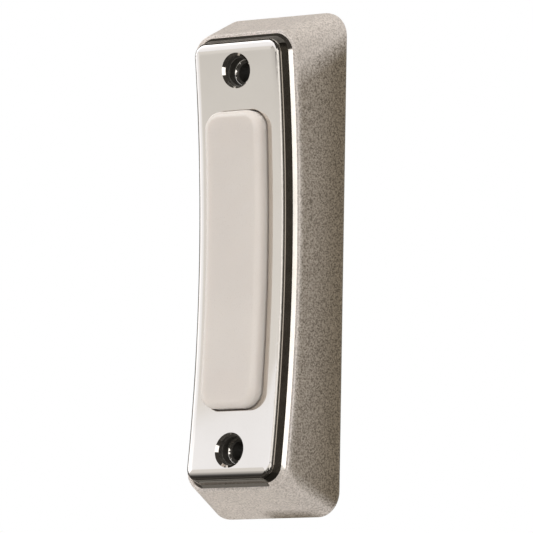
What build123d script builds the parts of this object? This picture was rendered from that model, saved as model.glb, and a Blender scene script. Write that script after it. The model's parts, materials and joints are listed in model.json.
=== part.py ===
from build123d import *
import math
import os

# Wall-mounted doorbell push button: a cast housing with a concave polished front plate, a long push bar
# in a slot, and an open back that holds the switch.
# Sizes are in millimetres. Every piece is drawn lying on its back, with the wall at Z = 0, the button's
# height along Y and "out" from the wall along Z. It is stood up when it is written: X is then the width,
# Z is up, the wall is the plane Y = 0 and the front looks along -Y.

# Push bar
bar_width = 15.0
bar_height = 64.6
bar_corner = 4.0
bar_proud = 3.0            # how far the bar stands out of the front face at rest
bar_round = 1.4
bar_wall = 1.8
bar_travel = 1.5
flange_thickness = 1.2

# Front plate, around the bar
side_border = 4.0          # from the bar's side to the plate's side
screw_offset = 8.95        # from the bar's end to a mounting screw
end_border = 6.45          # from a mounting screw to the plate's end
plate_corner = 3.0
face_radius = 358.0        # hollow curve of the front face along its height
face_wall = 2.0
roll_radius = 8.0          # the face rolls back along its edges
side_roll = 2.0            # width of the roll along each side
roll_margin = 0.15         # from a screw hole's mouth to the roll at the end
rim_round = 0.9            # convex rounding of the plate's front edge
step_depth = 1.2           # the plate's edge ends here in a narrow step
step_ledge = 0.1
bend_depth = 2.9           # the wall below the step flares further out from here
bend_ledge = 0.75          # from the plate's side to that bend
foot_depth = 3.55          # the flared wall ends here on a narrow ledge
foot_ledge = 1.45
shoulder_ledge = 2.15      # from the plate's side to the shoulder of the slopes
shoulder_round = 0.3

# Slopes and base
side_slope = 5.8           # from the plate's side to the base's side
end_slope = 7.3            # from the plate's end to the base's end
base_corner = 5.5
base_land = 0.6            # upright edge against the wall, below the slopes
side_wall = 2.2            # wall at the base
rim_wall = 1.4             # wall beside the front plate

# Depth of the switch, from the wall outwards
wire_room = 4.8
switch_base_thickness = 1.6
switch_room = 6.1          # between the switch base and the inside of the front face

# Mounting screw holes, from the face inwards
boss_radius = 5.2
mouth_flare = 0.55         # bevel round the mouth
head_hole_radius = 3.3
head_hole_depth = 1.6
seat_hole_radius = 3.1
seat_depth = 3.4
sink_radius = 2.8
sink_depth = 0.6
screw_hole_radius = 2.2
edge_break = 0.12
slot_lip = 0.2

# Screws that hold the switch base
post_radius = 2.2
post_inset = 1.5           # from the post's axis to the wall beside it
base_screw_radius = 1.0
base_screw_grip = 6.0      # length of the screw in its post
base_screw_head_radius = 2.1
base_screw_head = 1.4

# Return springs
spring_inset = 5.3         # from the bar's end to the spring's axis
spring_length = 7.0
spring_radius = 2.35       # to the middle of the wire
spring_wire_radius = 0.25
spring_turns = 6
spring_peg_radius = 1.8
spring_peg_height = 1.0
bar_peg_height = 2.5
spring_boss_radius = 3.3

# Contacts
strip_width = 8.0
strip_thickness = 0.4
leaf_width = 7.0
leaf_thickness = 0.3
leaf_bend = 0.8
contact_radius = 1.8
contact_round = 0.5
fixed_contact_height = 0.7
moving_contact_height = 0.6
contact_gap = 1.2          # open gap between the two contacts
plunger_width = 5.0
rib_thickness = 1.2

# Rivets, terminal plates, clamp washers and terminal screws
rivet_radius = 0.9
rivet_head_radius = 1.6
rivet_head = 0.6
rivet_pitch = 3.8
terminal_width = 9.0
terminal_thickness = 0.9
terminal_corner = 1.5
washer_width = 8.0
washer_thickness = 0.6
terminal_screw_radius = 1.7
terminal_screw_tail = 1.0  # length that stands out in front of the switch base
terminal_head_radius = 3.3
terminal_head = 1.8

# Clearances
slot_gap = 0.3             # between the bar and its slot
rest_gap = 0.3             # between the bar's flange and the face behind which it rests
flange_gap = 1.2           # between the bar's flange and the housing's inner wall
locate_gap = 0.3           # between the switch base and what it is set in
hole_gap = 0.05            # around a shank in its hole
clear_gap = 0.2            # around a shank in a free hole
contact_clear = 0.05       # left between the contacts at full travel
seat_gap = 0.02            # at each end of a spring
edge_margin = 2.6          # from a rivet to the end of the strip that it holds
screw_margin = 4.5         # from a terminal screw to the end of its plate
working_gap = 0.4          # between the bar's ribs and the leaf at full travel

# Sizes that follow
plate_width = bar_width + 2 * side_border
screw_spacing = bar_height + 2 * screw_offset
plate_height = screw_spacing + 2 * end_border
base_width = plate_width + 2 * side_slope
base_height = plate_height + 2 * end_slope
end_roll = end_border - head_hole_radius - mouth_flare - roll_margin
roll_start = plate_height / 2 - end_roll

switch_base_front = wire_room + switch_base_thickness
ceiling_out = switch_base_front + switch_room
face_out = ceiling_out + face_wall
face_axis_out = face_out + face_radius
beyond = face_out + face_radius / 2

cavity_width = base_width - 2 * side_wall
cavity_height = base_height - 2 * side_wall
cavity_corner = base_corner - side_wall
ceiling_width = plate_width - 2 * rim_wall
ceiling_height = plate_height - 2 * rim_wall
ceiling_corner = plate_corner - rim_wall / 2

slot_width = bar_width + 2 * slot_gap
slot_height = bar_height + 2 * slot_gap
slot_corner = bar_corner + slot_gap
flange_lip = side_border - rim_wall - flange_gap
flange_width = bar_width + 2 * flange_lip
flange_height = bar_height + 2 * flange_lip
flange_front_depth = face_wall + rest_gap
flange_back_depth = flange_front_depth + flange_thickness

screw_y = screw_spacing / 2
post_x = ceiling_width / 2 - post_inset
post_y = flange_height / 2 + flange_gap + post_radius
spring_y = bar_height / 2 - spring_inset
spring_seat_out = switch_base_front + spring_length

rivet_outer_y = spring_y - spring_radius - spring_wire_radius - clear_gap - edge_margin
rivet_inner_y = rivet_outer_y - rivet_pitch
terminal_y = rivet_inner_y - rivet_head_radius - washer_width / 2 - clear_gap
terminal_outer_y = rivet_outer_y + edge_margin
terminal_inner_y = terminal_y - screw_margin

leaf_out = (switch_base_front + strip_thickness + fixed_contact_height + contact_gap
            + moving_contact_height)
leaf_top_out = leaf_out + leaf_thickness
contact_travel = contact_gap - contact_clear
plunger_out = leaf_top_out + bar_travel - contact_travel
rib_out = leaf_top_out + bar_travel + working_gap


def prism(width, height, corner, top):
    """A rounded rectangle carried out from the wall."""
    return extrude(RectangleRounded(width, height, corner), top)


def behind_face(depth):
    """Everything behind the hollow surface that runs this far behind the front face."""
    radius = face_radius + depth
    reach = base_height / 2
    edge_out = face_axis_out - math.sqrt(radius**2 - reach**2)
    hollow = ThreePointArc((-reach, edge_out), (0, face_axis_out - radius), (reach, edge_out))
    rest = Polyline((reach, edge_out), (reach, 0), (-reach, 0), (-reach, edge_out))
    return extrude(Plane.YZ * make_face([hollow, rest]), base_width, both=True)


def surface_out(depth, y):
    """How far the surface behind_face(depth) stands out from the wall at this height."""
    return face_axis_out - math.sqrt((face_radius + depth)**2 - y**2)


def hollow_block(width, height, corner, depth):
    """A rounded block whose front is hollowed parallel to the front face."""
    return prism(width, height, corner, beyond) & behind_face(depth)


def flat_cap(outline, out):
    """A flat rounded outline at this distance from the wall."""
    return (Pos(0, 0, out) * RectangleRounded(*outline)).face()


def hollow_cap(outline, depth):
    """A rounded outline that lies on the surface behind_face(depth)."""
    return hollow_block(*outline, depth).faces().filter_by(GeomType.CYLINDER).sort_by(SortBy.AREA)[-1]


def sloped_block(*caps):
    """Straight slopes from each outline to the next one further out."""
    slopes = Shell.make_loft([cap.outer_wire() for cap in caps], ruled=True)
    return Solid(Shell([caps[0], caps[-1], *slopes.faces()]))


def around_plate(border):
    """Width, height and corner of the plate's outline, widened all round."""
    return plate_width + 2 * border, plate_height + 2 * border, plate_corner + border


def edges_on(part, depth, width, height):
    """The edges that lie on the surface behind_face(depth), inside an outline of this size."""
    def lies_on(edge):
        points = [edge.position_at(t) for t in (0.0, 0.5, 1.0)]
        off = [abs(p.Z - surface_out(depth, p.Y)) for p in points]
        inside = [abs(p.X) <= width / 2 + 0.01 and abs(p.Y) <= height / 2 + 0.01 for p in points]
        return max(off) < 0.01 and all(inside)
    return part.edges().filter_by(lies_on)


def rings_at(part, radius, out):
    """The round edges of this radius at this distance from the wall."""
    def is_ring(edge):
        box = edge.bounding_box()
        return abs(box.size.X / 2 - radius) < 0.01 and abs(box.center().Z - out) < 0.01
    return part.edges().filter_by(is_ring)


def rod(radius, low, high, x=0.0, y=0.0):
    """A round bar along the out direction, between two distances from the wall."""
    return Pos(x, y, (low + high) / 2) * Cylinder(radius, high - low)


def slab(width, inner_y, outer_y, low, high, corner):
    """A flat strip between two heights, with rounded corners."""
    outline = Pos(0, (inner_y + outer_y) / 2, low) * RectangleRounded(width, abs(outer_y - inner_y), corner)
    return extrude(outline, high - low)


def both_ends(make):
    """The same feature at the upper and the lower end."""
    return make(1) + make(-1)


def rolled_sides():
    """Everything behind a front face whose two long sides roll back."""
    flat = plate_width / 2 - side_roll

    def on_roll(side, angle):
        return side * (flat + roll_radius * math.sin(angle)), face_out - roll_radius * (1 - math.cos(angle))

    middle = math.pi / 8
    rolls = [ThreePointArc(on_roll(side, 0), on_roll(side, middle), on_roll(side, 2 * middle))
             for side in (1, -1)]
    reach, reach_out = on_roll(1, 2 * middle)
    back = Polyline((reach, reach_out), (reach, -face_out), (-reach, -face_out), (-reach, reach_out))
    section = Plane.XZ * make_face([Line(on_roll(-1, 0), on_roll(1, 0)), *rolls, back])
    axis = Axis((0, 0, face_axis_out), (1, 0, 0))
    swing = 20
    return revolve(section.rotate(axis, -swing), axis, 2 * swing)


def make_plate():
    """The front plate, hollow along its height and rolled back along its edges."""
    lean = math.asin(roll_start / face_radius)
    centre_y = roll_start + roll_radius * math.sin(lean)
    centre_out = surface_out(0, roll_start) - roll_radius * math.cos(lean)

    def on_roll(end, angle):
        return end * (centre_y + roll_radius * math.sin(angle)), centre_out + roll_radius * math.cos(angle)

    past_end = math.pi / 4
    face = ThreePointArc(on_roll(-1, -lean), (0, face_out), on_roll(1, -lean))
    rolls = [ThreePointArc(on_roll(end, -lean), on_roll(end, 0), on_roll(end, past_end)) for end in (1, -1)]
    reach, reach_out = on_roll(1, past_end)
    back = Polyline((reach, reach_out), (reach, 0), (-reach, 0), (-reach, reach_out))
    front = extrude(Plane.YZ * make_face([face, *rolls, back]), plate_width, both=True)
    plate = prism(*around_plate(0), beyond) & front & rolled_sides()

    def is_front_edge(edge):
        middle = edge @ 0.5
        beside = abs(middle.X) > plate_width / 2 - plate_corner
        at_end = abs(middle.Y) > (roll_start + plate_height / 2) / 2
        return (beside or at_end) and edge.bounding_box().min.Z > ceiling_out

    return fillet(plate.edges().filter_by(is_front_edge), rim_round)


def make_housing():
    # Base edge and slopes, up to the rounded shoulder.
    base = (base_width, base_height, base_corner)
    shoulder = around_plate(shoulder_ledge)
    body = sloped_block(flat_cap(base, base_land), hollow_cap(shoulder, foot_depth))
    body = fillet(edges_on(body, foot_depth, shoulder[0], shoulder[1]), shoulder_round)
    body = body + prism(*base, base_land)

    # Wall that flares from the step under the front plate to a ledge on the slopes.
    foot = around_plate(foot_ledge)
    body = body + sloped_block(hollow_cap(foot, foot_depth + face_wall), hollow_cap(foot, foot_depth),
                               hollow_cap(around_plate(bend_ledge), bend_depth),
                               hollow_cap(around_plate(step_ledge), step_depth))
    body = body + make_plate()

    # Open back with an even wall.
    back = (cavity_width, cavity_height, cavity_corner)
    ceiling = (ceiling_width, ceiling_height, ceiling_corner)
    body = body - sloped_block(flat_cap(back, 0), hollow_cap(ceiling, face_wall))

    # Tubes for the mounting screws and posts for the switch base, from the face back.
    tubes = both_ends(lambda end: rod(boss_radius, 0, beyond, y=end * screw_y))
    posts = both_ends(lambda end: rod(post_radius, switch_base_front, beyond, end * post_x, end * post_y))
    body = body + ((tubes + posts) & behind_face(face_wall / 2))
    pilots = both_ends(lambda end: rod(base_screw_radius + hole_gap, switch_base_front,
                                       switch_base_front + base_screw_grip + clear_gap,
                                       end * post_x, end * post_y))
    body = body - pilots

    # Slot for the bar, with a softened lip.
    body = body - prism(slot_width, slot_height, slot_corner, beyond)
    body = fillet(edges_on(body, 0, slot_width, slot_height), slot_lip)

    # Stepped holes for the mounting screws.
    hole_out = surface_out(0, screw_y)
    head_out = hole_out - head_hole_depth
    seat_out = hole_out - seat_depth
    sink_out = seat_out - sink_depth

    def screw_hole(end):
        hole = rod(head_hole_radius, head_out, beyond)
        hole += rod(seat_hole_radius, seat_out, head_out)
        hole += Pos(0, 0, (seat_out + sink_out) / 2) * Cone(screw_hole_radius, sink_radius, sink_depth)
        hole += rod(screw_hole_radius, 0, sink_out)
        return Pos(0, end * screw_y, 0) * hole

    body = body - both_ends(screw_hole)

    def is_hole_mouth(edge):
        middle = edge.bounding_box().center()
        return abs(middle.X) < edge_break and abs(abs(middle.Y) - screw_y) < edge_break

    body = chamfer(edges_on(body, 0, plate_width, plate_height).filter_by(is_hole_mouth), mouth_flare)
    steps = rings_at(body, seat_hole_radius, head_out) + rings_at(body, sink_radius, seat_out)
    return fillet(steps, edge_break)


def make_push_bar():
    # Moulded cap with a rounded front and a flange that holds it behind the face.
    cap = hollow_block(bar_width, bar_height, bar_corner, -bar_proud)
    cap = fillet(edges_on(cap, -bar_proud, bar_width, bar_height), bar_round)
    flange = hollow_block(flange_width, flange_height, bar_corner + flange_lip, flange_front_depth)
    room = hollow_block(bar_width - 2 * bar_wall, bar_height - 2 * bar_wall, bar_corner - bar_wall,
                        bar_wall - bar_proud)
    bar = cap + flange - behind_face(flange_back_depth) - room

    # Plunger for the leaf, stiffening ribs and spring seats, inside the cap.
    plunger = Pos(0, 0, plunger_out) * prism(plunger_width, plunger_width, plunger_width / 4, beyond)
    ribs = both_ends(lambda end: Pos(0, end * spring_y / 2, rib_out) * extrude(
        Rectangle(bar_width - bar_wall, rib_thickness), beyond))
    seats = both_ends(lambda end: rod(spring_boss_radius, spring_seat_out, beyond, y=end * spring_y))
    pegs = both_ends(lambda end: rod(spring_peg_radius, spring_seat_out - bar_peg_height, beyond,
                                     y=end * spring_y))
    return bar + ((plunger + ribs + seats + pegs) & behind_face(bar_wall / 2 - bar_proud))


def inside_at(foot, top, top_out, out):
    """Half the inside's size at this distance from the wall, from half sizes at its foot and top."""
    return foot + (top - foot) * out / top_out


def make_switch_base():
    half_width = inside_at(cavity_width / 2, ceiling_width / 2, ceiling_out, switch_base_front)
    end_out = surface_out(face_wall, ceiling_height / 2)
    half_height = inside_at(cavity_height / 2, ceiling_height / 2, end_out, switch_base_front)
    width = 2 * (half_width - locate_gap)
    height = 2 * (half_height - locate_gap)
    plate = Pos(0, 0, wire_room) * prism(width, height, base_corner, switch_base_thickness)
    pegs_out = switch_base_front + spring_peg_height
    plate = plate + both_ends(lambda end: rod(spring_peg_radius, wire_room, pegs_out, y=end * spring_y))
    through = (0, switch_base_front)
    for end in (1, -1):
        plate = plate - rod(boss_radius + locate_gap, *through, y=end * screw_y)
        plate = plate - rod(base_screw_radius + clear_gap, *through, end * post_x, end * post_y)
        plate = plate - rod(terminal_screw_radius + clear_gap, *through, y=end * terminal_y)
        plate = plate - rod(rivet_radius + hole_gap, *through, y=end * rivet_inner_y)
        plate = plate - rod(rivet_radius + hole_gap, *through, y=end * rivet_outer_y)
    return plate


def make_base_screw(end):
    head_out = wire_room - base_screw_head
    head = rod(base_screw_head_radius, head_out, wire_room)
    head = fillet(head.edges().group_by(Axis.Z)[0], base_screw_head / 2)
    shank = rod(base_screw_radius, wire_room, switch_base_front + base_screw_grip)
    shank = chamfer(shank.edges().group_by(Axis.Z)[-1], base_screw_radius / 2)
    recess = Pos(0, 0, head_out) * Box(base_screw_head_radius, base_screw_head_radius / 4, base_screw_head)
    screw = head + shank - recess - Rot(Z=90) * recess
    return Pos(end * post_x, end * post_y, 0) * screw


def make_return_spring(end):
    rise = spring_length - 2 * spring_wire_radius - 2 * seat_gap
    coil = Helix(pitch=rise / spring_turns, height=rise, radius=spring_radius)
    wire = Plane(origin=coil @ 0, z_dir=coil % 0) * Circle(spring_wire_radius)
    spring = sweep(wire, path=coil, is_frenet=True)
    return Pos(0, end * spring_y, switch_base_front + spring_wire_radius + seat_gap) * spring


def rivet_holes(end):
    """Holes for the two rivets of one strip."""
    holes = rod(rivet_radius + hole_gap, 0, beyond, y=end * rivet_inner_y)
    return holes + rod(rivet_radius + hole_gap, 0, beyond, y=end * rivet_outer_y)


def make_contact_leaf():
    foot_out = switch_base_front + leaf_thickness / 2
    tip_out = leaf_out + leaf_thickness / 2
    foot_y = rivet_inner_y - rivet_head_radius - clear_gap
    path = Plane.YZ * FilletPolyline((rivet_outer_y + edge_margin, foot_out), (foot_y - leaf_bend, foot_out),
                                     (terminal_y - leaf_bend, tip_out), (-2 * contact_radius, tip_out),
                                     radius=leaf_bend)
    section = Plane(origin=path @ 0, x_dir=(1, 0, 0), z_dir=path % 0) * Rectangle(leaf_width, leaf_thickness)
    return sweep(section, path=path) - rivet_holes(1)


def make_moving_contact():
    button = rod(contact_radius, leaf_out - moving_contact_height, leaf_out)
    return fillet(button.edges().group_by(Axis.Z)[0], contact_round)


def make_fixed_contact():
    strip_top = switch_base_front + strip_thickness
    button = rod(contact_radius, strip_top, strip_top + fixed_contact_height)
    return fillet(button.edges().group_by(Axis.Z)[-1], contact_round)


def make_fixed_contact_strip():
    strip = slab(strip_width, contact_radius + edge_margin / 2, -rivet_outer_y - edge_margin,
                 switch_base_front, switch_base_front + strip_thickness, strip_width / 4)
    strip = strip - rod(terminal_screw_radius + clear_gap, 0, beyond, y=-terminal_y)
    return strip - rivet_holes(-1)


def make_rivet(y, strip):
    """A rivet through a strip of this thickness, the switch base and the terminal plate."""
    back_out = wire_room - terminal_thickness
    front_out = switch_base_front + strip
    front_head = rod(rivet_head_radius, front_out, front_out + rivet_head)
    front_head = fillet(front_head.edges().group_by(Axis.Z)[-1], rivet_head / 2)
    back_head = rod(rivet_head_radius, back_out - rivet_head, back_out)
    back_head = fillet(back_head.edges().group_by(Axis.Z)[0], rivet_head / 2)
    return Pos(0, y, 0) * (front_head + back_head + rod(rivet_radius, back_out, front_out))


def make_terminal_plate(end):
    plate = slab(terminal_width, end * terminal_inner_y, end * terminal_outer_y,
                 wire_room - terminal_thickness, wire_room, terminal_corner)
    plate = plate - rod(terminal_screw_radius + hole_gap, 0, beyond, y=end * terminal_y)
    return plate - rivet_holes(end)


def make_clamp_washer(end):
    top = wire_room - terminal_thickness
    washer = slab(washer_width, -washer_width / 2, washer_width / 2, top - washer_thickness, top,
                  washer_width / 8)
    washer = washer - rod(terminal_screw_radius + clear_gap, 0, beyond)
    return Pos(0, end * terminal_y, 0) * washer


def make_terminal_screw(end):
    under_head = wire_room - terminal_thickness - washer_thickness
    head_out = under_head - terminal_head
    head = rod(terminal_head_radius, head_out, under_head)
    head = fillet(head.edges().group_by(Axis.Z)[0], terminal_head / 3)
    shank = rod(terminal_screw_radius, under_head, switch_base_front + terminal_screw_tail)
    shank = chamfer(shank.edges().group_by(Axis.Z)[-1], terminal_screw_radius / 4)
    slot = Pos(0, 0, head_out) * Box(3 * terminal_head_radius, terminal_head_radius / 3, terminal_head)
    return Pos(0, end * terminal_y, 0) * (head + shank - slot)


pieces = {
    "housing": make_housing(),
    "push_bar": make_push_bar(),
    "switch_base": make_switch_base(),
    "contact_leaf": make_contact_leaf(),
    "moving_contact": make_moving_contact(),
    "fixed_contact_strip": make_fixed_contact_strip(),
    "fixed_contact": make_fixed_contact(),
    "leaf_rivet_inner": make_rivet(rivet_inner_y, leaf_thickness),
    "leaf_rivet_outer": make_rivet(rivet_outer_y, leaf_thickness),
    "strip_rivet_inner": make_rivet(-rivet_inner_y, strip_thickness),
    "strip_rivet_outer": make_rivet(-rivet_outer_y, strip_thickness),
}
for end, place in ((1, "upper"), (-1, "lower")):
    pieces["base_screw_" + place] = make_base_screw(end)
    pieces["return_spring_" + place] = make_return_spring(end)
    pieces["terminal_plate_" + place] = make_terminal_plate(end)
    pieces["clamp_washer_" + place] = make_clamp_washer(end)
    pieces["terminal_screw_" + place] = make_terminal_screw(end)

os.makedirs("parts", exist_ok=True)
for name, piece in pieces.items():
    export_step(Rot(X=90) * piece, os.path.join("parts", name + ".step"))
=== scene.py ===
import json
import math

import bpy
from mathutils import Matrix, Vector

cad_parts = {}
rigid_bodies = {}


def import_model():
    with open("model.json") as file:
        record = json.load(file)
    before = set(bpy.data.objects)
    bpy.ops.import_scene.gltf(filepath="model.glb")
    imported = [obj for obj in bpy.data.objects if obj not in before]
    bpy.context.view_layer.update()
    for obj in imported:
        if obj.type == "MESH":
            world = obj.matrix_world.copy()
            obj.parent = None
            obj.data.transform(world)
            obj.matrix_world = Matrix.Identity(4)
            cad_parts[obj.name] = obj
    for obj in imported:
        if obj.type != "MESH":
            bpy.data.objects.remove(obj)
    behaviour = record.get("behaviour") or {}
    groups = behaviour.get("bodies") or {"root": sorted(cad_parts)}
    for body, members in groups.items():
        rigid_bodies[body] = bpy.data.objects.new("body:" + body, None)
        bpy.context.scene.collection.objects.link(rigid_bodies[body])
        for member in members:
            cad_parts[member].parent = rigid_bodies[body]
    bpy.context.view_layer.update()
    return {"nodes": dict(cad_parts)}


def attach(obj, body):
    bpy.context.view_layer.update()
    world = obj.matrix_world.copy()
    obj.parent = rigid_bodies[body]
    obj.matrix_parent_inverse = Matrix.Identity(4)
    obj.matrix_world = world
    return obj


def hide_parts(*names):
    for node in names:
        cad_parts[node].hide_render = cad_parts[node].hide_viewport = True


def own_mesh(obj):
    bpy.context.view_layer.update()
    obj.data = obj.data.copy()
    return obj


for left_over in list(bpy.data.objects):
    bpy.data.objects.remove(left_over)

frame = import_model()
nodes = frame["nodes"]

MM = 0.001

# Front face: hollow along its height, about an axis in front of the button.
FACE_RADIUS = 358.0 * MM
FACE_AXIS_OUT = 372.5 * MM
FACE_WALL = 2.0 * MM
FACE_FLAT = 9.5 * MM
ROLL_RADIUS = 8.0 * MM
SIDE_EDGE = (10.6 * MM, 10.8 * MM)
END_EDGE = (44.7 * MM, 45.2 * MM)

# Depths below the front face: the rim's step, the bend where it flares out, and the ledge above the slopes.
STEP_DEPTH = 1.2 * MM
BEND_DEPTH = 2.9 * MM
SHOULDER_DEPTH = 3.55 * MM

# The middle of the plate, from which its edges and corners face outwards.
CORE_X = 8 * MM
CORE_Z = 43 * MM
TOUCH = 0.03 * MM

# Screw holes: a bevel at the mouth and a broken edge further in.
SCREW_HEIGHT = 41.25 * MM
SCREW_MOUTH_OUT = FACE_AXIS_OUT - math.sqrt(FACE_RADIUS**2 - SCREW_HEIGHT**2)
HOLE_MOUTH_RADIUS = 3.9 * MM
MOUTH_BEVEL = 0.62 * MM
BROKEN_EDGE = (3.39 * MM, 3.53 * MM)

# The housing's finishes, in the order of its materials.
POLISHED, BLASTED, CAST, PAINTED_SHADE, STAIN_AND_SHADE = range(5)

# The photograph's camera.
IMAGE_SIZE = 533
SENSOR = 36.0
CAMERA_AZIMUTH = 36.99
CAMERA_ELEVATION = -5.91
CAMERA_ROLL = 1.01
CAMERA_DISTANCE = 1.2979
PIXELS_PER_METRE = 4580.0
ORIGIN_RIGHT = 12.77
ORIGIN_DOWN = 0.4

# The studio round the button.
CLOTH_DISTANCE = 0.9
STRIP_DISTANCE = 0.88
PANEL_DISTANCE = 0.5


def direction(azimuth, elevation):
    """Unit vector from the button towards a place in the studio. Azimuth 0 is straight in front."""
    turn = math.radians(azimuth)
    rise = math.radians(elevation)
    return Vector((math.sin(turn) * math.cos(rise), -math.cos(turn) * math.cos(rise), math.sin(rise)))


def make_camera():
    back = direction(CAMERA_AZIMUTH, CAMERA_ELEVATION)
    level = direction(CAMERA_AZIMUTH + 90, 0)
    upright = back.cross(level)
    roll = math.radians(CAMERA_ROLL)
    right = level * math.cos(roll) + upright * math.sin(roll)
    up = upright * math.cos(roll) - level * math.sin(roll)
    data = bpy.data.cameras.new("camera")
    data.sensor_width = SENSOR
    data.lens = PIXELS_PER_METRE * CAMERA_DISTANCE / IMAGE_SIZE * SENSOR
    data.clip_start = 0.01
    data.clip_end = 50.0
    camera = bpy.data.objects.new("camera", data)
    bpy.context.scene.collection.objects.link(camera)
    place = back * CAMERA_DISTANCE
    place -= right * (ORIGIN_RIGHT / PIXELS_PER_METRE)
    place += up * (ORIGIN_DOWN / PIXELS_PER_METRE)
    turn = Matrix((right, up, back)).transposed().to_4x4()
    camera.matrix_world = Matrix.Translation(place) @ turn
    bpy.context.scene.camera = camera


def add(tree, kind, values=None, **settings):
    """A new shader node with these settings and socket values."""
    node = tree.nodes.new("ShaderNode" + kind)
    for name, value in settings.items():
        setattr(node, name, value)
    for name, value in (values or {}).items():
        node.inputs[name].default_value = value
    return node


def calc(tree, operation, *values):
    """One step of arithmetic with sockets and plain numbers."""
    node = add(tree, "Math", operation=operation)
    for place, value in enumerate(values):
        if isinstance(value, float):
            node.inputs[place].default_value = value
        else:
            tree.links.new(value, node.inputs[place])
    return node.outputs[0]


def make_world(fill):
    """White to the eye and in reflections, and an even fill light on matt surfaces."""
    world = bpy.data.worlds.new("studio")
    bpy.context.scene.world = world
    world.use_nodes = True
    tree = world.node_tree
    tree.nodes.clear()
    white = add(tree, "Background", {"Color": (1, 1, 1, 1), "Strength": 1.0})
    soft = add(tree, "Background", {"Color": (1, 1, 1, 1), "Strength": fill})
    path = add(tree, "LightPath")
    seen = calc(tree, "MAXIMUM", path.outputs["Is Camera Ray"], path.outputs["Is Glossy Ray"])
    shown = calc(tree, "MAXIMUM", seen, path.outputs["Is Transmission Ray"])
    mix = add(tree, "MixShader")
    output = add(tree, "OutputWorld")
    tree.links.new(shown, mix.inputs["Fac"])
    tree.links.new(soft.outputs[0], mix.inputs[1])
    tree.links.new(white.outputs[0], mix.inputs[2])
    tree.links.new(mix.outputs[0], output.inputs["Surface"])


def make_softbox(name, azimuth, elevation, distance, width, height, brightness):
    """A soft lamp that faces the button and doesn't show in its metal."""
    data = bpy.data.lights.new(name, "AREA")
    data.shape = "RECTANGLE"
    data.size = width
    data.size_y = height
    data.energy = brightness * math.pi * width * height
    lamp = bpy.data.objects.new(name, data)
    bpy.context.scene.collection.objects.link(lamp)
    towards = direction(azimuth, elevation)
    lamp.location = towards * distance
    lamp.rotation_euler = towards.to_track_quat("Z", "Y").to_euler()
    lamp.visible_glossy = False


def plain_material(name, colour, roughness):
    material = bpy.data.materials.new(name)
    material.use_nodes = True
    shader = material.node_tree.nodes["Principled BSDF"]
    shader.inputs["Base Color"].default_value = (*colour, 1)
    shader.inputs["Roughness"].default_value = roughness
    return material


def make_mesh(name, points, faces, material):
    mesh = bpy.data.meshes.new(name)
    mesh.from_pydata(points, [], faces)
    mesh.materials.append(material)
    mesh.update()
    obj = bpy.data.objects.new(name, mesh)
    bpy.context.scene.collection.objects.link(obj)
    return obj


def make_floor():
    half = 20.0
    level = -0.4
    corners = [(-half, -half, level), (half, -half, level), (half, half, level), (-half, half, level)]
    pale = plain_material("pale_floor", (0.82, 0.81, 0.8), roughness=0.8)
    floor = make_mesh("floor", corners, [(0, 1, 2, 3)], pale)
    floor.visible_glossy = False
    floor.visible_diffuse = False


def make_screen(name, azimuths, elevations, distance, material):
    """A cloth or a lit panel beside the button, which only its metal shows."""
    steps = 12
    points = []
    for row in range(steps + 1):
        elevation = elevations[0] + (elevations[1] - elevations[0]) * row / steps
        for column in range(steps + 1):
            azimuth = azimuths[0] + (azimuths[1] - azimuths[0]) * column / steps
            points.append(direction(azimuth, elevation) * distance)
    faces = []
    for row in range(steps):
        for column in range(steps):
            first = row * (steps + 1) + column
            faces.append((first, first + 1, first + steps + 2, first + steps + 1))
    hide_screen(make_mesh(name, points, faces, material))


def make_sheet(name, corners, material):
    """A flat cloth, card or lit tape close to the button, which only its metal shows."""
    hide_screen(make_mesh(name, corners, [tuple(range(len(corners)))], material))


def hide_screen(screen):
    screen.visible_camera = False
    screen.visible_diffuse = False
    screen.visible_transmission = False
    screen.visible_shadow = False


def ramp(tree, value, levels):
    """A smooth rise or fall through these pairs of place and level."""
    total = levels[0][1]
    for here, there in zip(levels, levels[1:]):
        change = {"From Min": here[0], "From Max": there[0], "To Min": 0.0, "To Max": there[1] - here[1]}
        step = add(tree, "MapRange", change, interpolation_type="SMOOTHSTEP")
        tree.links.new(value, step.inputs["Value"])
        total = calc(tree, "ADD", total, step.outputs["Result"])
    return total


def lit_material(name):
    """A material that only gives off light, and its light."""
    material = bpy.data.materials.new(name)
    material.use_nodes = True
    tree = material.node_tree
    tree.nodes.clear()
    light = add(tree, "Emission")
    output = add(tree, "OutputMaterial")
    tree.links.new(light.outputs[0], output.inputs["Surface"])
    return material, light


def graded_glow(name, upwards, backwards):
    """A lit panel, with levels of brightness by height and by place front to back, cooler where bright."""
    material, light = lit_material(name)
    tree = material.node_tree
    place = add(tree, "SeparateXYZ")
    tree.links.new(add(tree, "TexCoord").outputs["Object"], place.inputs[0])
    rise = ramp(tree, place.outputs["Z"], upwards)
    level = calc(tree, "MULTIPLY", rise, ramp(tree, place.outputs["Y"], backwards))
    coolness = spread(tree, level, 0.0, 1.0, start=1.05, end=1.35)
    tint = blend_colours(tree, coolness, (1.0, 1.0, 1.0), (0.94, 0.97, 1.04), start=0.0, end=1.0)
    tree.links.new(tint, light.inputs["Color"])
    tree.links.new(level, light.inputs["Strength"])
    return material


def even_glow(name, level, tint):
    material, light = lit_material(name)
    light.inputs["Color"].default_value = (*tint, 1)
    light.inputs["Strength"].default_value = level
    return material


def new_paint(name):
    """A material, its node tree, its shader and the place on the object in metres."""
    material = bpy.data.materials.new(name)
    material.use_nodes = True
    tree = material.node_tree
    shader = tree.nodes["Principled BSDF"]
    place = add(tree, "TexCoord").outputs["Object"]
    return material, tree, shader, place


def noise(tree, place, size, detail=3.0, roughness=0.5):
    """Noise whose features are about this size in metres."""
    node = add(tree, "TexNoise", {"Scale": 1.0 / size, "Detail": detail, "Roughness": roughness})
    tree.links.new(place, node.inputs["Vector"])
    return node.outputs["Fac"]


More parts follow.
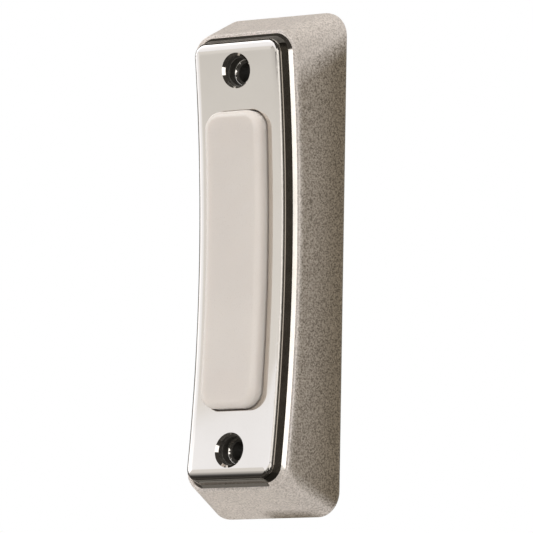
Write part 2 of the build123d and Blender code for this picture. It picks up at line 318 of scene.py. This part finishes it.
def spread(tree, value, low, high, start=0.3, end=0.7):
    """Goes evenly from low to high as the value goes from start to end, which suit noise if not given."""
    node = add(tree, "MapRange", {"From Min": start, "From Max": end, "To Min": low, "To Max": high})
    tree.links.new(value, node.inputs["Value"])
    return node.outputs["Result"]


def blend_colours(tree, value, first, second, start=0.3, end=0.7):
    node = add(tree, "ValToRGB")
    node.color_ramp.elements[0].position = start
    node.color_ramp.elements[0].color = (*first, 1)
    node.color_ramp.elements[1].position = end
    node.color_ramp.elements[1].color = (*second, 1)
    tree.links.new(value, node.inputs["Fac"])
    return node.outputs["Color"]


def add_bump(tree, shader, height, distance):
    node = add(tree, "Bump", {"Strength": 1.0, "Distance": distance})
    tree.links.new(height, node.inputs["Height"])
    tree.links.new(node.outputs["Normal"], shader.inputs["Normal"])
    return node


def coordinates(tree, place):
    """The three coordinates of a place."""
    spot = add(tree, "SeparateXYZ")
    tree.links.new(place, spot.inputs[0])
    return spot.outputs


def true_curve(tree, place):
    """The normal of the hollow face and of its rolled long sides, from their radii."""
    x, y, z = coordinates(tree, place)
    beside = calc(tree, "ABSOLUTE", x)
    lean = spread(tree, beside, 0.0, 1.0, start=FACE_FLAT, end=FACE_FLAT + ROLL_RADIUS)
    upright = calc(tree, "COSINE", calc(tree, "ARCSINE", lean))
    towards_axis = calc(tree, "MULTIPLY_ADD", y, -1 / FACE_RADIUS, -FACE_AXIS_OUT / FACE_RADIUS)
    tilt = calc(tree, "MULTIPLY", z, -1 / FACE_RADIUS)
    curve = add(tree, "CombineXYZ")
    tree.links.new(calc(tree, "MULTIPLY", lean, calc(tree, "SIGN", x)), curve.inputs["X"])
    tree.links.new(calc(tree, "MULTIPLY", upright, towards_axis), curve.inputs["Y"])
    tree.links.new(calc(tree, "MULTIPLY", upright, tilt), curve.inputs["Z"])

    # Only on the face itself, short of its rounded edges and of the walls of its holes.
    mesh = add(tree, "NewGeometry").outputs["Normal"]
    likeness = add(tree, "VectorMath", operation="DOT_PRODUCT")
    tree.links.new(mesh, likeness.inputs[0])
    tree.links.new(curve.outputs[0], likeness.inputs[1])
    share = spread(tree, likeness.outputs["Value"], 0.0, 1.0, start=0.985, end=0.992)
    share = calc(tree, "MULTIPLY", share, spread(tree, beside, 1.0, 0.0, *SIDE_EDGE))
    height = calc(tree, "ABSOLUTE", z)
    share = calc(tree, "MULTIPLY", share, spread(tree, height, 1.0, 0.0, *END_EDGE))
    change = add(tree, "VectorMath", operation="SUBTRACT")
    tree.links.new(curve.outputs[0], change.inputs[0])
    tree.links.new(mesh, change.inputs[1])
    normal = add(tree, "VectorMath", operation="MULTIPLY_ADD")
    tree.links.new(change.outputs[0], normal.inputs[0])
    tree.links.new(share, normal.inputs[1])
    tree.links.new(mesh, normal.inputs[2])
    return normal.outputs[0]


def polished_nickel():
    material, tree, shader, place = new_paint("polished_nickel")
    shader.inputs["Metallic"].default_value = 1.0
    broad = noise(tree, place, 9 * MM)
    fine = noise(tree, place, 0.5 * MM, detail=4.0)
    tint = blend_colours(tree, broad, (0.64, 0.595, 0.54), (0.66, 0.615, 0.56))
    tree.links.new(tint, shader.inputs["Base Color"])
    tree.links.new(spread(tree, fine, 0.03, 0.06), shader.inputs["Roughness"])
    bump = add_bump(tree, shader, broad, 0.004 * MM)
    tree.links.new(true_curve(tree, place), bump.inputs["Normal"])
    return material


def painted_side_shade(tree, place):
    """How much painted shade darkens the blasting: most on the long sides near the wall, and none round the
    corners.
    """
    below_middle = 3.9 * MM
    corner_slant = -2.42
    x, y, z = coordinates(tree, place)
    beside = calc(tree, "ABSOLUTE", x)
    along = calc(tree, "ABSOLUTE", calc(tree, "ADD", z, below_middle))

    # The corners without painted shade begin further along the side where it is closer to the wall.
    past_side = calc(tree, "MULTIPLY_ADD", beside, corner_slant, along)
    length = spread(tree, past_side, 1.0, 0.0, start=7.1 * MM, end=12.6 * MM)
    across = ramp(tree, beside, [(13.5 * MM, 0.0), (14.1 * MM, 0.62), (17.3 * MM, 0.95)])
    wear_and_shade = calc(tree, "MULTIPLY", length, across)

    # Painted shade along the wall at the lower end.
    near_wall = spread(tree, y, 0.0, 1.0, start=-4.8 * MM, end=-0.2 * MM)
    at_end = spread(tree, z, 1.0, 0.0, start=-52.5 * MM, end=-50.5 * MM)
    right_of_middle = ramp(tree, x, [(-3 * MM, 0.0), (3 * MM, 1.0), (9 * MM, 1.0), (15 * MM, 0.0)])
    shade_by_wall = calc(tree, "MULTIPLY", calc(tree, "MULTIPLY", near_wall, at_end), right_of_middle)
    return calc(tree, "MAXIMUM", wear_and_shade, shade_by_wall)


def blasted_nickel():
    material, tree, shader, place = new_paint("blasted_nickel")
    shader.inputs["Metallic"].default_value = 0.35
    patches = noise(tree, place, 5 * MM, detail=2.0)
    grain = noise(tree, place, 0.4 * MM, detail=3.0, roughness=0.6)
    clean = blend_colours(tree, patches, (0.82, 0.735, 0.66), (0.87, 0.78, 0.7))
    # Painted shade: the blasted colour is multiplied towards dark brown on the long sides and along the
    # wall at the lower end, and the dark grain of the pits shows more there.
    painted_shade_amount = painted_side_shade(tree, place)
    wear_and_shade = add(tree, "Mix", data_type="RGBA", blend_type="MULTIPLY")
    wear_and_shade.inputs["B"].default_value = (0.325, 0.287, 0.212, 1)
    tree.links.new(painted_shade_amount, wear_and_shade.inputs["Factor"])
    tree.links.new(clean, wear_and_shade.inputs["A"])
    pits = add(tree, "Mix", data_type="RGBA", blend_type="MULTIPLY")
    pit_colour = blend_colours(tree, grain, (0.38, 0.36, 0.33), (1.0, 1.0, 1.0), start=0.36, end=0.6)
    tree.links.new(spread(tree, painted_shade_amount, 0.55, 1.0, start=0.0, end=0.4), pits.inputs["Factor"])
    tree.links.new(wear_and_shade.outputs["Result"], pits.inputs["A"])
    tree.links.new(pit_colour, pits.inputs["B"])
    tree.links.new(pits.outputs["Result"], shader.inputs["Base Color"])
    tree.links.new(spread(tree, grain, 0.42, 0.58), shader.inputs["Roughness"])
    add_bump(tree, shader, grain, 0.25 * MM)
    return material


# Painted shade: a near-black colour for the depths of the screw holes and the upward-facing groove at the
# top end.
def painted_shade_recess():
    material, tree, shader, place = new_paint("painted_shade_recess")
    shader.inputs["Metallic"].default_value = 0.4
    patches = noise(tree, place, 0.8 * MM, detail=3.0)
    tint = blend_colours(tree, patches, (0.08, 0.072, 0.06), (0.13, 0.118, 0.1))
    tree.links.new(tint, shader.inputs["Base Color"])
    tree.links.new(spread(tree, patches, 0.35, 0.5), shader.inputs["Roughness"])
    return material


def cast_inside():
    material, tree, shader, place = new_paint("cast_inside")
    shader.inputs["Metallic"].default_value = 1.0
    patches = noise(tree, place, 4 * MM, detail=4.0)
    grain = noise(tree, place, 0.6 * MM, detail=4.0)
    tint = blend_colours(tree, patches, (0.36, 0.345, 0.325), (0.47, 0.45, 0.42))
    tree.links.new(tint, shader.inputs["Base Color"])
    tree.links.new(spread(tree, grain, 0.5, 0.68), shader.inputs["Roughness"])
    add_bump(tree, shader, grain, 0.06 * MM)
    return material


def ivory_plastic():
    material, tree, shader, place = new_paint("ivory_plastic")
    broad = noise(tree, place, 12 * MM, detail=2.0)
    fine = noise(tree, place, 0.25 * MM, detail=3.0)
    tint = blend_colours(tree, broad, (0.705, 0.638, 0.58), (0.73, 0.663, 0.602))
    tree.links.new(tint, shader.inputs["Base Color"])
    tree.links.new(spread(tree, fine, 0.26, 0.34), shader.inputs["Roughness"])
    shader.inputs["Subsurface Weight"].default_value = 0.9
    shader.inputs["Subsurface Radius"].default_value = (0.8, 0.8, 0.8)
    shader.inputs["Subsurface Scale"].default_value = 4.0 * MM
    add_bump(tree, shader, fine, 0.004 * MM)
    return material


def pressed_board():
    material, tree, shader, place = new_paint("pressed_board")
    stretch = add(tree, "Mapping")
    stretch.inputs["Scale"].default_value = (1.0, 4.0, 0.25)
    tree.links.new(place, stretch.inputs["Vector"])
    fibres = noise(tree, stretch.outputs["Vector"], 0.5 * MM, detail=5.0, roughness=0.65)
    tint = blend_colours(tree, fibres, (0.055, 0.034, 0.022), (0.12, 0.078, 0.05))
    tree.links.new(tint, shader.inputs["Base Color"])
    tree.links.new(spread(tree, fibres, 0.45, 0.62), shader.inputs["Roughness"])
    add_bump(tree, shader, fibres, 0.02 * MM)
    return material


def worn_metal(name, clean, wear_and_shade, smooth, rough, grain_size):
    """Bare metal with darker, rougher worn patches and fine tool marks."""
    material, tree, shader, place = new_paint(name)
    shader.inputs["Metallic"].default_value = 1.0
    patches = noise(tree, place, 2.5 * MM, detail=5.0, roughness=0.6)
    grain = noise(tree, place, grain_size, detail=3.0)
    tint = blend_colours(tree, patches, clean, wear_and_shade, start=0.4, end=0.75)
    tree.links.new(tint, shader.inputs["Base Color"])
    tree.links.new(spread(tree, patches, smooth, rough), shader.inputs["Roughness"])
    add_bump(tree, shader, grain, 0.01 * MM)
    return material


def set_material(node, material):
    nodes[node].data.materials.clear()
    nodes[node].data.materials.append(material)


def finish_at(centre, normal):
    """Polish on the front plate and its rim, blasting on the slopes, a dark stain with painted shade in the
    rim's groove and along its lower edge, painted shade in the screw holes and where the groove faces up at
    the top end, and bare casting inside."""
    out = -centre.y
    # The screw holes, below their polished bevel and broken edge, get painted shade.
    if math.hypot(centre.x, abs(centre.z) - SCREW_HEIGHT) < HOLE_MOUTH_RADIUS and out > TOUCH:
        below_mouth = SCREW_MOUTH_OUT - out
        broken_edge = BROKEN_EDGE[0] < below_mouth < BROKEN_EDGE[1] and normal.y > -0.98
        return POLISHED if below_mouth < MOUTH_BEVEL or broken_edge else PAINTED_SHADE

    depth = math.hypot(FACE_AXIS_OUT - out, centre.z) - FACE_RADIUS
    faces_out = normal.y < -0.9
    ledge = faces_out and abs(depth - SHOULDER_DEPTH) < 2 * TOUCH
    on_flare = BEND_DEPTH < depth < SHOULDER_DEPTH
    # The flare's lower right corner is blasted: a lighter finish that stands in for a light reflection
    # there.
    lower_right_corner = centre.z < 0 and normal.x > 0.1 and normal.z < -0.08
    if ledge or on_flare and lower_right_corner:
        return BLASTED

    away = Vector((centre.x - max(-CORE_X, min(CORE_X, centre.x)), 0,
                   centre.z - max(-CORE_Z, min(CORE_Z, centre.z))))
    outward = normal.dot(away.normalized()) if away.length > 0 else 0.0
    # The groove, the step at the ends and the rim's downward-facing lower edge get a dark stain with
    # painted shade; where the groove faces up at the top end, painted shade alone.
    faces_down = normal.z < -0.6
    below_step = depth > STEP_DEPTH - 2 * TOUCH
    in_groove = depth < BEND_DEPTH and outward > 0.5 and (below_step or faces_down)
    end_step = faces_out and abs(depth - STEP_DEPTH) < 2 * TOUCH and abs(centre.z) > CORE_Z
    if in_groove or end_step:
        return PAINTED_SHADE if centre.z > CORE_Z and normal.z > 0.5 else STAIN_AND_SHADE
    if depth > SHOULDER_DEPTH + TOUCH:
        return BLASTED if outward > 0.2 or out < TOUCH else CAST
    if depth > FACE_WALL - TOUCH and (normal.y > 0.2 or outward < -0.2):
        return CAST
    return POLISHED


def finish_housing():
    mesh = nodes["housing"].data
    mesh.materials.clear()
    # A dark stain with painted shade: the finish of the rim's groove and its downward-facing lower edge.
    groove_stain_and_shade = worn_metal("stained_and_shaded_nickel", (0.19, 0.172, 0.145), (0.15, 0.135, 0.112), 0.1, 0.16, 0.3 * MM)
    for material in (polished_nickel(), blasted_nickel(), cast_inside(), painted_shade_recess(), groove_stain_and_shade):
        mesh.materials.append(material)
    for polygon in mesh.polygons:
        polygon.material_index = finish_at(polygon.center, polygon.normal)


def make_return_spring(name, node, height, material):
    """Coil spring whose end turns lie close together."""
    radius = 2.35 * MM
    wire = 0.25 * MM
    turns = 6
    seat = 6.4 * MM
    gap = 0.02 * MM
    room = 7.0 * MM
    rise = room - 2 * wire - 2 * gap
    closing = 0.6
    steps_per_turn = 44
    steps = steps_per_turn * turns
    sides = 12
    points = []
    for step in range(steps + 1):
        share = step / steps
        turn = 2 * math.pi * turns * share
        lift = rise * (share - closing * math.sin(2 * math.pi * share) / (2 * math.pi))
        slope = rise * (1 - closing * math.cos(2 * math.pi * share)) / (2 * math.pi * turns)
        outward = Vector((math.cos(turn), 0, math.sin(turn)))
        along = Vector((-radius * math.sin(turn), -slope, radius * math.cos(turn))).normalized()
        across = along.cross(outward)
        middle = outward * radius + Vector((0, -(seat + gap + wire + lift), height))
        for side in range(sides):
            angle = 2 * math.pi * side / sides
            points.append(middle + (outward * math.cos(angle) + across * math.sin(angle)) * wire)
    faces = []
    for step in range(steps):
        for side in range(sides):
            following = (side + 1) % sides
            here = step * sides
            there = here + sides
            faces.append((here + side, here + following, there + following, there + side))
    faces.append(tuple(range(sides)))
    faces.append(tuple(range(steps * sides + sides - 1, steps * sides - 1, -1)))
    spring = make_mesh(name, points, faces, material)
    spring.data.shade_smooth()
    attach(spring, "housing")
    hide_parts(node)
    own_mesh(spring)


def make_leaf(material):
    """The contact leaf, whose tip the bar pushes, as a copy fixed to the housing."""
    mesh = nodes["contact_leaf"].data.copy()
    mesh.materials.clear()
    mesh.materials.append(material)
    leaf = bpy.data.objects.new("leaf_blade", mesh)
    bpy.context.scene.collection.objects.link(leaf)
    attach(leaf, "housing")
    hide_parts("contact_leaf")
    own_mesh(leaf)


def make_lamps():
    make_softbox("key", -40, 14, distance=1.0, width=0.7, height=0.6, brightness=0.9)
    make_softbox("overhead", 0, 80, distance=1.0, width=0.5, height=0.5, brightness=4.6)
    make_softbox("underneath", 0, -76, distance=0.18, width=0.14, height=0.1, brightness=1.3)
    make_softbox("right", 68, 26, distance=0.9, width=0.4, height=0.6, brightness=2.4)
    make_softbox("left", -95, 0, distance=0.9, width=0.4, height=0.6, brightness=3.5)


def make_cloths():
    """Dark cloths far from the button, and a sheet and a card close below it."""
    black = plain_material("black_cloth", (0.05, 0.046, 0.04), roughness=0.9)
    grey = plain_material("grey_cloth", (0.26, 0.242, 0.217), roughness=0.9)
    for name, azimuths, elevations, material in (
            ("right_rear_cloth", (104.5, 150), (-50, 60), black),
            ("right_cloth", (99.5, 104.5), (-50, 60), grey),
            ("right_side_cloth", (84, 99.5), (-50, 60), black),
            ("right_upper_cloth", (22, 86), (14, 60), black),
            ("right_lower_cloth", (22, 86), (-58, -8), black),
            ("upper_cloth", (-150, -70), (24, 66), black),
            ("rear_cloth", (-175, -129), (-12, 26), black),
            ("top_cloth", (-180, 180), (58, 89), black)):
        make_screen(name, azimuths, elevations, CLOTH_DISTANCE, material)

    sheet = -0.09
    card = -0.065
    card_top = -0.0505
    make_sheet("lower_sheet", [(-0.20, card, sheet), (0.05, card, sheet), (0.08, -0.022, sheet),
                               (0.03, 0.05, sheet), (-0.20, 0.15, sheet), (-0.40, 0.15, sheet)], black)
    make_sheet("lower_card", [(-0.12, card, sheet), (0.03, card, sheet), (0.03, card, card_top),
                              (-0.12, card, card_top)], black)

    # Two lit tapes lie on the sheet.
    tape = sheet + 0.5 * MM
    left = -0.06
    right = -0.01
    for name, nearest, furthest, level in (("front_tape", -0.030, -0.024, 0.2),
                                           ("rear_tape", -0.010, 0.03, 0.6)):
        corners = [(left, nearest, tape), (right, nearest, tape),
                   (right, furthest, tape), (left, furthest, tape)]
        make_sheet(name, corners, even_glow(name, level, (1.0, 0.97, 0.92)))


def make_panels():
    upwards = [(-0.115, 0.9), (-0.085, 0.05), (-0.057, 0.05), (-0.039, 0.16), (-0.017, 0.45),
               (-0.006, 0.58), (0.02, 0.93), (0.035, 1.0), (0.072, 1.05), (0.078, 1.35), (0.13, 1.45)]
    backwards = [(-0.39, 1.0), (-0.35, 1.35), (-0.26, 1.95), (-0.18, 1.95), (-0.09, 0.3)]
    front_glow = graded_glow("front_glow", upwards, backwards)
    strip_glow = even_glow("strip_glow", 2.1, (1.0, 1.0, 1.0))
    make_screen("front_panel", (-128, 29), (-20, 34), PANEL_DISTANCE, front_glow)
    make_screen("front_upper_panel", (-75, 29), (34, 50), PANEL_DISTANCE, front_glow)
    make_screen("right_strip", (49, 57), (-20, 18), STRIP_DISTANCE, strip_glow)


bpy.context.scene.view_settings.view_transform = "Standard"
make_camera()
make_world(fill=0.71)
make_floor()
make_lamps()
make_cloths()
make_panels()

finish_housing()
set_material("push_bar", ivory_plastic())
set_material("switch_base", pressed_board())
brass = worn_metal("brass", (0.72, 0.54, 0.25), (0.5, 0.35, 0.16), 0.2, 0.42, 0.3 * MM)
bronze = worn_metal("spring_bronze", (0.68, 0.44, 0.25), (0.48, 0.29, 0.16), 0.18, 0.35, 0.25 * MM)
silver = worn_metal("contact_silver", (0.85, 0.83, 0.8), (0.6, 0.58, 0.54), 0.12, 0.3, 0.2 * MM)
steel = worn_metal("plated_steel", (0.66, 0.65, 0.62), (0.5, 0.48, 0.44), 0.16, 0.34, 0.3 * MM)
spring_steel = worn_metal("spring_steel", (0.5, 0.49, 0.48), (0.36, 0.35, 0.34), 0.2, 0.36, 0.15 * MM)
for place in ("upper", "lower"):
    set_material("base_screw_" + place, steel)
    set_material("clamp_washer_" + place, steel)
    set_material("terminal_screw_" + place, brass)
    set_material("terminal_plate_" + place, brass)
for place in ("inner", "outer"):
    set_material("leaf_rivet_" + place, brass)
    set_material("strip_rivet_" + place, brass)
set_material("fixed_contact_strip", brass)
set_material("fixed_contact", silver)
set_material("moving_contact", silver)
make_leaf(bronze)
make_return_spring("coil_upper", "return_spring_upper", 27.0 * MM, spring_steel)
make_return_spring("coil_lower", "return_spring_lower", -27.0 * MM, spring_steel)
